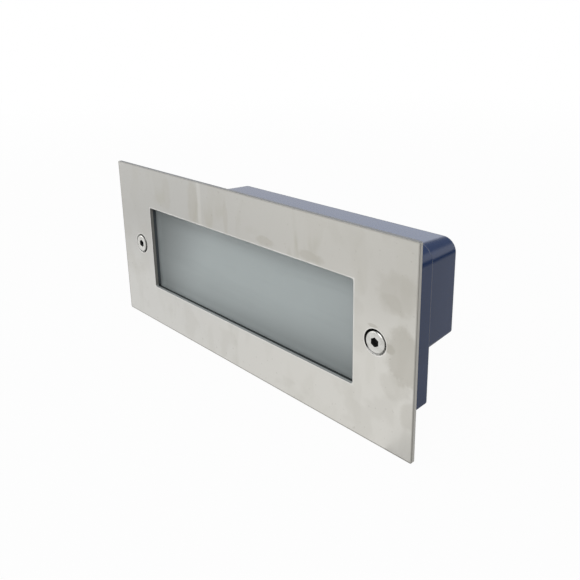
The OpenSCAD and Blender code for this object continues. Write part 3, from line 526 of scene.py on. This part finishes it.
def screw_finish():
    """Polished stainless, with painted shade filling its hex socket and round its rim, heaviest on the inner
    side and above, faint at the bottom.
    """
    shop = Shop("screw_finish")
    x, y, z = shop.axes()
    outward, from_screw = around_screw(x, z)
    # Painted shade: the hex socket near-black
    socket = from_screw.below(2.36 * mm) * y.below(1.0 * mm) * y.above((head_face + 0.12) * mm)
    # Painted shade round the head's rim, heaviest on its inner side and above, faint at the bottom
    rim_shade = (from_screw - outward * 0.07).step(4.75 * mm, 5.15 * mm) * y.below(1.4 * mm)
    rim_shade = rim_shade * outward.step(-3 * mm, 1 * mm, 1.0, 0.45)
    rim_shade = rim_shade * (z + x.below(0) * (3 * mm)).step(-4.6 * mm, -2.0 * mm, 0.15, 1.0)
    mark = shop.noise(0.5 * mm, 3.0, 0.6)
    dull = shop.blotch(3 * mm, 0.45, 0.7)
    color = shop.blend(dull, shade("D0CFCB"), shade("C0BFBA"))
    color = shop.blend(rim_shade * 0.80, color, shade("2A2927"))
    color = shop.blend(socket, color, shade("0A0A0A"))
    rough = 0.22 + dull * 0.10 + socket * 0.5
    return shop.done(shop.skin(color, rough, 1 - socket * 0.95, shop.bump(mark, 0.006 * mm, 0.5)))


def brass():
    """Brass with dull tarnished patches."""
    shop = Shop("brass")
    mark = shop.noise(0.6 * mm, 3.0, 0.6)
    tarnish = shop.blotch(4 * mm, 0.45, 0.75)
    color = shop.blend(tarnish, shade("D9B36A"), shade("A98245"))
    return shop.done(shop.skin(color, 0.28 + tarnish * 0.2, 1.0, shop.bump(mark, 0.01 * mm, 0.5)))


# One finish for each material slot of the record
finishes = {
    "plate_steel": stainless_sheet(),
    "zinc_steel": plated_steel("bright_zinc", "C9CCD0", "9DA1A6", 0.26),
    "polished_steel": screw_finish(),
    "spring_steel": plated_steel("dark_spring_steel", "4A4A4D", "2F2F32", 0.35),
    "foam": closed_cell_foam(),
    "black_rubber": black_rubber(),
    "white_silicone": white_silicone(),
    "frosted_glass": frosted_pane(),
    "white_paint": powder_coat(),
    "board_white": board_mask(),
    "chip_yellow": lamp_chip(),
    "driver_black": moulded_plastic("driver_plastic", "2C2E31", "212327"),
    "lid_aluminium": cast_lid(),
    "lead_red": lead_sheath("red_sheath", "A51E1C"),
    "lead_black": lead_sheath("black_sheath", "1C1C1E"),
    "lead_brown": lead_sheath("brown_sheath", "5F3A22"),
    "lead_blue": lead_sheath("blue_sheath", "2453A8"),
    "lead_green": lead_sheath("earth_sheath", "3E8A2C", "E3CF2E"),
    "brass": brass(),
    "box_blue": glossy_box_plastic(),
    "terminal_white": moulded_plastic("terminal_plastic", "DDDCD5", "D2D1C9", 0.38, 0.015),
    "gland_grey": moulded_plastic("gland_plastic", "3A3C40", "2E3034", 0.45),
}
node_slot = {entry["node"]: entry["material_slot"] for entry in frame["record"]["subparts"]}


def dress(piece, slot):
    """Gives the piece one finish."""
    piece.data.materials.clear()
    piece.data.materials.append(finishes[slot])


for name, node in frame["nodes"].items():
    dress(node, node_slot[name])


# Mesh helpers
def made(name, points, faces, body, slot, replaces=(), smooth_angle=35, uvs=None):
    """A new piece from points in metres, shaded smooth over edges of less than smooth_angle degrees."""
    mesh = bpy.data.meshes.new(name)
    mesh.from_pydata(points, [], faces)
    mesh.validate()
    work = bmesh.new()
    work.from_mesh(mesh)
    bmesh.ops.recalc_face_normals(work, faces=work.faces)
    for face in work.faces:
        face.smooth = True
    for edge in work.edges:
        if len(edge.link_faces) == 2:
            edge.smooth = edge.calc_face_angle(0.0) < math.radians(smooth_angle)
    work.to_mesh(mesh)
    work.free()
    if uvs:
        layer = mesh.uv_layers.new(name="along")
        for loop in mesh.loops:
            layer.data[loop.index].uv = uvs[loop.vertex_index]
    piece = bpy.data.objects.new(name, mesh)
    bpy.context.scene.collection.objects.link(piece)
    dress(piece, slot)
    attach(piece, body)
    if replaces:
        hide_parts(*replaces)


def skin_rings(rings):
    """Points and faces of a closed tube through rings of equal count."""
    count = len(rings[0])
    points = [tuple(point) for ring_points in rings for point in ring_points]
    faces = [(i * count + k, i * count + (k + 1) % count,
              (i + 1) * count + (k + 1) % count, (i + 1) * count + k)
             for i in range(len(rings) - 1) for k in range(count)]
    faces.append(tuple(range(count - 1, -1, -1)))
    faces.append(tuple(range((len(rings) - 1) * count, len(rings) * count)))
    return points, faces


# Leads
def smooth_route(corners, bend):
    """The corners of a lead's route, each rounded to about this bend."""
    steps = 8
    route = [corners[0]]
    for before, corner, after in zip(corners, corners[1:], corners[2:]):
        back, ahead = before - corner, after - corner
        half = back.angle(ahead) / 2
        reach = min(bend / math.tan(half), 0.45 * back.length, 0.45 * ahead.length)
        enter, leave = corner + back.normalized() * reach, corner + ahead.normalized() * reach
        for k in range(steps + 1):
            t = k / steps
            route.append((1 - t) ** 2 * enter + 2 * t * (1 - t) * corner + t ** 2 * leave)
    return route + [corners[-1]]


def circle(center, axis, start, radius, sides):
    """Points of a circle about an axis, from a start direction square to it."""
    side = axis.cross(start)
    return [center + radius * (math.cos(a) * start + math.sin(a) * side)
            for a in (2 * math.pi * k / sides for k in range(sides))]


def lead(name, corners, radius, bend):
    """A round lead along its route, in place of the faceted one."""
    sides = 14
    path = smooth_route([Vector(corner) * mm for corner in corners], bend * mm)
    rings, start = [], None
    for i, point in enumerate(path):
        axis = (path[min(i + 1, len(path) - 1)] - path[max(i - 1, 0)]).normalized()
        start = start or axis.orthogonal().normalized()
        start = (start - axis * start.dot(axis)).normalized()
        rings.append(circle(point, axis, start, radius * mm, sides))
    points, faces = skin_rings(rings)
    uvs = [((k % sides) / sides, k // sides / len(rings)) for k in range(len(points))]
    made(name + "_sheath", points, faces, "front", node_slot[name], [name], 50, uvs)


# The routes repeat those of the CAD leads, from the driver's output to the solder joints on the board,
# and from the driver's input and the earth tag to the terminal block's ports
output_y, output_z, input_y, input_z = 32.0, 1.4, 34.0, 5
joint_x, port_y, port_z = 61, 57.5, -4
lamp_lead = {"radius": 0.8, "bend": 3}
supply_lead = {"radius": 1.1, "bend": 6}
for name, z in (("lead_red", output_z), ("lead_black", -output_z)):
    lead(name, [(54.5, output_y, z), (69.5, output_y, z), (69.5, 14.5, z), (joint_x, 14.5, z),
                (joint_x, board_y, z)], **lamp_lead)
lead("lead_live", [(-22.5, input_y, input_z), (-40, input_y, input_z), (-60, 41, port_z),
                   (-60, port_y, port_z)], **supply_lead)
lead("lead_neutral", [(-22.5, input_y, -input_z), (-36, input_y, -input_z), (-52, 41, port_z),
                      (-52, port_y, port_z)], **supply_lead)
lead("lead_earth", [(-48, 9.4, -32.2), (-36.2, 9.4, -32.2), (-34, 17, -31), (-34, 27, -23),
                    (-36.2, 36, -12), (-44, 43.2, port_z), (-44, port_y, port_z)], **supply_lead)


# Solder and screws
def turned(name, profile, place, body, slot, replaces=(), count=48):
    """A form turned about y: profile holds pairs of a depth and a radius, which may depend on the angle."""
    along, start = Vector((0, 1, 0)), Vector((1, 0, 0))
    side = along.cross(start)
    rings = []
    for depth, radius in profile:
        row = []
        for k in range(count):
            a = 2 * math.pi * k / count
            r = radius(a) if callable(radius) else radius
            out = r * (math.cos(a) * start + math.sin(a) * side)
            row.append((Vector(place) + depth * along + out) * mm)
        rings.append(row)
    points, faces = skin_rings(rings)
    made(name, points, faces, body, slot, replaces)


def hexagon(flats):
    """Radius of a hexagon with corners up and down, against the angle."""
    def radius(a):
        from_flat = (a - math.pi / 2) % (math.pi / 3) - math.pi / 6
        return flats / 2 / math.cos(from_flat)
    return radius


def solder_joint(name, z):
    """A dome of solder where a lead meets the board."""
    profile = [(0.0, 1.7), (-0.15, 1.65), (-0.45, 1.4), (-0.8, 1.05), (-1.1, 0.9), (-1.15, 0.85)]
    turned(name, profile, (joint_x, board_y, z), "front", "zinc_steel", count=24)


def socket_head(face, back):
    """The head's profile: hex socket with its chamfer, flat face, rounded rim and underside."""
    socket_depth, across_flats, rim_r, middle = 2.2, 4.0, 0.85, 0.01
    face_r = head_r - rim_r
    profile = [(face + socket_depth, middle), (face + socket_depth, hexagon(across_flats - 0.04)),
               (face + 0.25, hexagon(across_flats)), (face + 0.08, hexagon(across_flats + 0.05)),
               (face + 0.02, 2.36), (face, 2.42), (face, face_r)]
    for angle in (math.pi / 12 * k for k in range(1, 7)):
        profile.append((face + rim_r * (1 - math.cos(angle)), face_r + rim_r * math.sin(angle)))
    return profile + [(back - 0.12, head_r), (back, head_r - 0.12)]


def rolled_thread(start, end):
    """The thread's profile: depths along the shank with the radius against the angle."""
    pitch, rows, root_r, height = 1.0, 8, 2.48, 0.5
    profile = []
    for i in range(int((end - start) * rows / pitch)):
        y = start + i * pitch / rows

        def crest(a, y=y):
            turn = (y / pitch - a / (2 * math.pi)) % 1.0
            lift = max(0.0, min(1.0, 2.6 * (0.5 - abs(turn - 0.5)) * 2 - 0.5))
            return root_r + height * lift
        profile.append((y, crest))
    return profile


def fixing_screw(side):
    """Low-head screw: rounded rim, hex socket, groove for its clip and a rolled thread."""
    head_h, shank_r, groove_r, thread_start = 3.6, 3.0, 2.65, 5.0
    back, end = head_face + head_h, shank_end
    clip_front, clip_back = low_high("clip_" + side, 1)
    shank = [(back, shank_r), (clip_front, shank_r), (clip_front, groove_r), (clip_back, groove_r),
             (clip_back, shank_r - 0.05), (thread_start - 0.4, shank_r - 0.05), (thread_start - 0.2, 2.55)]
    tip = [(end - 0.7, 2.45), (end - 0.1, 2.15), (end, 2.0), (end, 0.01)]
    profile = socket_head(head_face, back) + shank + rolled_thread(thread_start, end - 0.8) + tip
    x = screw_x if side == "right" else -screw_x
    turned("fixing_screw_" + side, profile, (x, 0, 0), "screw_" + side, "polished_steel",
           ["screw_" + side])


solder_joint("solder_red", output_z)
solder_joint("solder_black", -output_z)
fixing_screw("left")
fixing_screw("right")


# Floor, backdrop, lamps and camera
def studio_floor():
    """A pale floor that the camera sees as nearly white, and gloss as white in front and dim behind."""
    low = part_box("faceplate")[0][2] - 0.3 * mm
    reach = 12.0
    mesh = bpy.data.meshes.new("studio_floor")
    corners = [(-reach, -reach, low), (reach, -reach, low), (reach, reach, low), (-reach, reach, low)]
    mesh.from_pydata(corners, [], [(0, 1, 2, 3)])
    floor = bpy.data.objects.new("studio_floor", mesh)
    bpy.context.scene.collection.objects.link(floor)
    shop = Shop("studio_floor_paint")
    x, y, _ = shop.axes()
    away = (x * x + y * y).root()
    paint = shop.skin((0.42, 0.42, 0.42), 0.9)
    glow = shop.node("ShaderNodeEmission", {}, {"Color": (1, 1, 1, 1), "Strength": 1.0})
    dusk = shop.node("ShaderNodeEmission", {}, {"Color": (0.02, 0.025, 0.035, 1), "Strength": 1.0})
    sharp = shop.ray("Is Glossy Ray").most(shop.ray("Is Transmission Ray"))
    seen = shop.ray("Is Camera Ray") * away.step(0.3, 1.5, 0.965, 1.0)
    mirrored = sharp * (y + x.above(0.10) * 0.06).step(0.0, 0.10, 1.0, 0.11)
    far_edge = sharp * y.step(0.05, 0.20) * away.step(0.36, 0.46) * away.fade(1.0, 1.6)
    surface = shop.mixed(seen.most(mirrored), paint, glow)
    mesh.materials.append(shop.done(shop.mixed(far_edge, surface, dusk)))


def studio_world():
    """A soft sky that the camera and glass see as white, as gloss does near the horizon."""
    world = bpy.data.worlds.new("studio_world")
    bpy.context.scene.world = world
    shop = Shop("studio_world", world)
    height = shop.axes(shop.node("ShaderNodeTexCoord", out="Generated"))[2]
    mirrored = shop.ray("Is Glossy Ray")
    seen = shop.ray("Is Camera Ray").most(shop.ray("Is Transmission Ray"))
    white = shop.node("ShaderNodeBackground", {}, {"Color": (1, 1, 1, 1), "Strength": 1.0})
    sky = shop.node("ShaderNodeBackground", {}, {"Color": (0.93, 0.96, 1.0, 1),
                                                 "Strength": 0.55 - mirrored * 0.28})
    shop.done(shop.mixed(seen.most(mirrored * height.fade(0.34, 0.44)), sky, white))


def softbox(name, place, size, power):
    """A square or oblong lamp that faces the plate's middle."""
    data = bpy.data.lights.new(name, "AREA")
    data.shape = "RECTANGLE"
    data.size, data.size_y = size
    data.energy = power
    lamp = bpy.data.objects.new(name, data)
    lamp.location = place
    lamp.rotation_euler = (-Vector(place)).to_track_quat("-Z", "Y").to_euler()
    bpy.context.scene.collection.objects.link(lamp)


def camera():
    """The photograph's own camera, from the plate's and the box's corners in it."""
    # In the photograph's pixels: its side, the focal length, and the row that the camera looks at
    picture, focal, middle_row = 580, 649.84, 209.94
    sensor = 36.0
    place = (0.25271, -0.19988, 0.13249)
    right = Vector((0.68909, 0.72445, -0.01814))
    down = Vector((0.18978, -0.20457, -0.96028))
    ahead = Vector((-0.69939, 0.65827, -0.27845))
    data = bpy.data.cameras.new("photo_camera")
    data.sensor_width = sensor
    data.lens = focal / picture * sensor
    data.shift_y = -(picture / 2 - middle_row) / picture
    data.clip_start, data.clip_end = 0.01, 20
    seat = bpy.data.objects.new("photo_camera", data)
    seat.matrix_world = Matrix.Translation(place) @ Matrix((right, -down, -ahead)).transposed().to_4x4()
    bpy.context.scene.collection.objects.link(seat)
    bpy.context.scene.camera = seat


studio_floor()
studio_world()
softbox("key_softbox", (0.5, -0.9, 1.2), (1.2, 1.2), 14)
softbox("fill_softbox", (-1.0, -0.8, 0.5), (1.0, 1.0), 5)
softbox("top_softbox", (-0.1, 0.1, 1.4), (1.0, 0.8), 6)
camera()
bpy.context.scene.view_settings.view_transform = "Standard"
